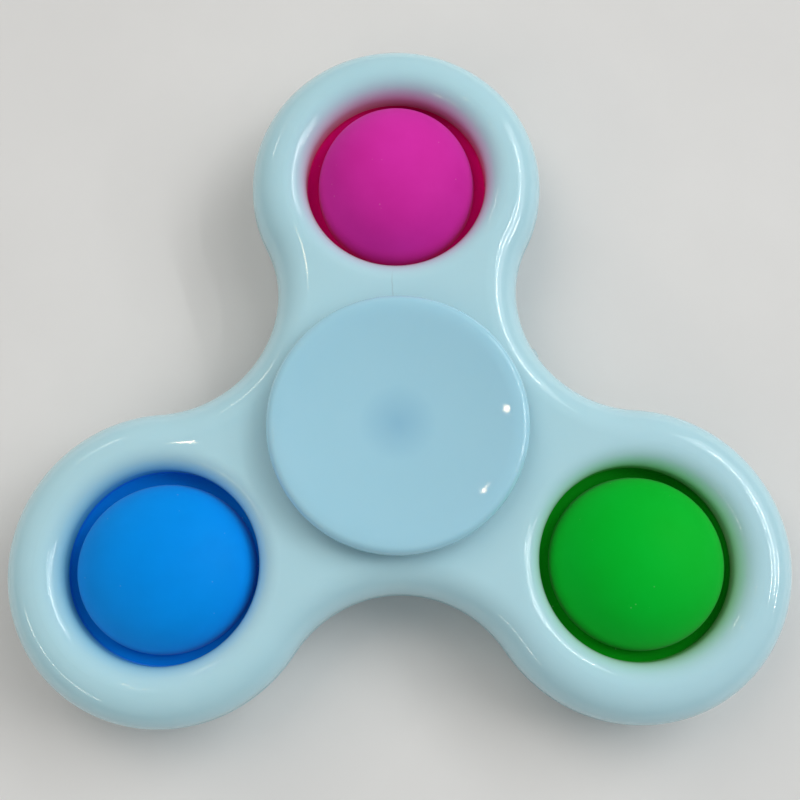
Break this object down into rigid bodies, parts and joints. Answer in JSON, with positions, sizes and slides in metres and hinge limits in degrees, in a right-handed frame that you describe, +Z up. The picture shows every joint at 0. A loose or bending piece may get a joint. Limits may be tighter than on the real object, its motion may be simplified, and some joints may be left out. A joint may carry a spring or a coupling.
{
  "type": "fidget spinner",
  "caption": "Three-lobed hand spinner with a ball bearing, two dished finger caps and a silicone pop bubble in each lobe.",
  "frame": {"origin": "on the spin axis, in the plane of the lower cap's rim, which the spinner rests on", "axes": "+Z up along the spin axis, +Y from the spin axis towards the pink bubble"},
  "size_m": [0.0686, 0.0631, 0.0116],
  "materials": {
    "body_plastic": "glossy moulded ABS, cool white",
    "cap_plastic": "glossy moulded ABS, cool white",
    "bearing_steel": "ground bearing steel",
    "shield_steel": "pressed steel sheet",
    "cage_nylon": "moulded nylon",
    "pink_silicone": "matte moulded silicone",
    "blue_silicone": "matte moulded silicone",
    "green_silicone": "matte moulded silicone"
  },
  "bodies": {
    "caps": {"upper_cap": "cap_plastic", "lower_cap": "cap_plastic", "bearing_inner_ring": "bearing_steel"},
    "spinner": {"upper_shell": "body_plastic", "lower_shell": "body_plastic", "bearing_outer_ring": "bearing_steel", "upper_shield": "shield_steel", "lower_shield": "shield_steel", "pink_bubble_flange": "pink_silicone", "pink_bubble_wall": "pink_silicone", "blue_bubble_flange": "blue_silicone", "blue_bubble_wall": "blue_silicone", "green_bubble_flange": "green_silicone", "green_bubble_wall": "green_silicone"},
    "cage": {"bearing_cage": "cage_nylon"},
    "ball_1": {"ball_1": "bearing_steel"},
    "ball_2": {"ball_2": "bearing_steel"},
    "ball_3": {"ball_3": "bearing_steel"},
    "ball_4": {"ball_4": "bearing_steel"},
    "ball_5": {"ball_5": "bearing_steel"},
    "ball_6": {"ball_6": "bearing_steel"},
    "ball_7": {"ball_7": "bearing_steel"},
    "pink_crown": {"pink_bubble_crown": "pink_silicone"},
    "blue_crown": {"blue_bubble_crown": "blue_silicone"},
    "green_crown": {"green_bubble_crown": "green_silicone"}
  },
  "joints": [
    {"name": "spinner_spin", "type": "hinge", "parent": "caps", "child": "spinner", "pos_m": [0, 0, 0.0058], "axis": [0, 0, 1], "continuous": true},
    {"name": "cage_spin", "type": "hinge", "parent": "caps", "child": "cage", "pos_m": [0, 0, 0.0058], "axis": [0, 0, 1], "continuous": true},
    {"name": "ball_1_roll", "type": "hinge", "parent": "cage", "child": "ball_1", "pos_m": [0, 0.0075, 0.0058], "axis": [0, 0, 1], "continuous": true},
    {"name": "ball_2_roll", "type": "hinge", "parent": "cage", "child": "ball_2", "pos_m": [-0.00586, 0.00468, 0.0058], "axis": [0, 0, 1], "continuous": true},
    {"name": "ball_3_roll", "type": "hinge", "parent": "cage", "child": "ball_3", "pos_m": [-0.00731, -0.00167, 0.0058], "axis": [0, 0, 1], "continuous": true},
    {"name": "ball_4_roll", "type": "hinge", "parent": "cage", "child": "ball_4", "pos_m": [-0.00325, -0.00676, 0.0058], "axis": [0, 0, 1], "continuous": true},
    {"name": "ball_5_roll", "type": "hinge", "parent": "cage", "child": "ball_5", "pos_m": [0.00325, -0.00676, 0.0058], "axis": [0, 0, 1], "continuous": true},
    {"name": "ball_6_roll", "type": "hinge", "parent": "cage", "child": "ball_6", "pos_m": [0.00731, -0.00167, 0.0058], "axis": [0, 0, 1], "continuous": true},
    {"name": "ball_7_roll", "type": "hinge", "parent": "cage", "child": "ball_7", "pos_m": [0.00586, 0.00468, 0.0058], "axis": [0, 0, 1], "continuous": true},
    {"name": "pink_bubble_pop", "type": "slide", "parent": "spinner", "child": "pink_crown", "axis": [0, 0, 1], "range_m": [-0.0099, 0], "deforming": ["pink_bubble_wall"]},
    {"name": "blue_bubble_pop", "type": "slide", "parent": "spinner", "child": "blue_crown", "axis": [0, 0, 1], "range_m": [-0.0099, 0], "deforming": ["blue_bubble_wall"]},
    {"name": "green_bubble_pop", "type": "slide", "parent": "spinner", "child": "green_crown", "axis": [0, 0, 1], "range_m": [-0.0099, 0], "deforming": ["green_bubble_wall"]}
  ],
  "couplings": [
    {"joint": "cage_spin", "follows": "spinner_spin", "ratio": 0.6323},
    {"joint": "ball_1_roll", "follows": "spinner_spin", "ratio": 1.7573},
    {"joint": "ball_2_roll", "follows": "spinner_spin", "ratio": 1.7573},
    {"joint": "ball_3_roll", "follows": "spinner_spin", "ratio": 1.7573},
    {"joint": "ball_4_roll", "follows": "spinner_spin", "ratio": 1.7573},
    {"joint": "ball_5_roll", "follows": "spinner_spin", "ratio": 1.7573},
    {"joint": "ball_6_roll", "follows": "spinner_spin", "ratio": 1.7573},
    {"joint": "ball_7_roll", "follows": "spinner_spin", "ratio": 1.7573}
  ]
}
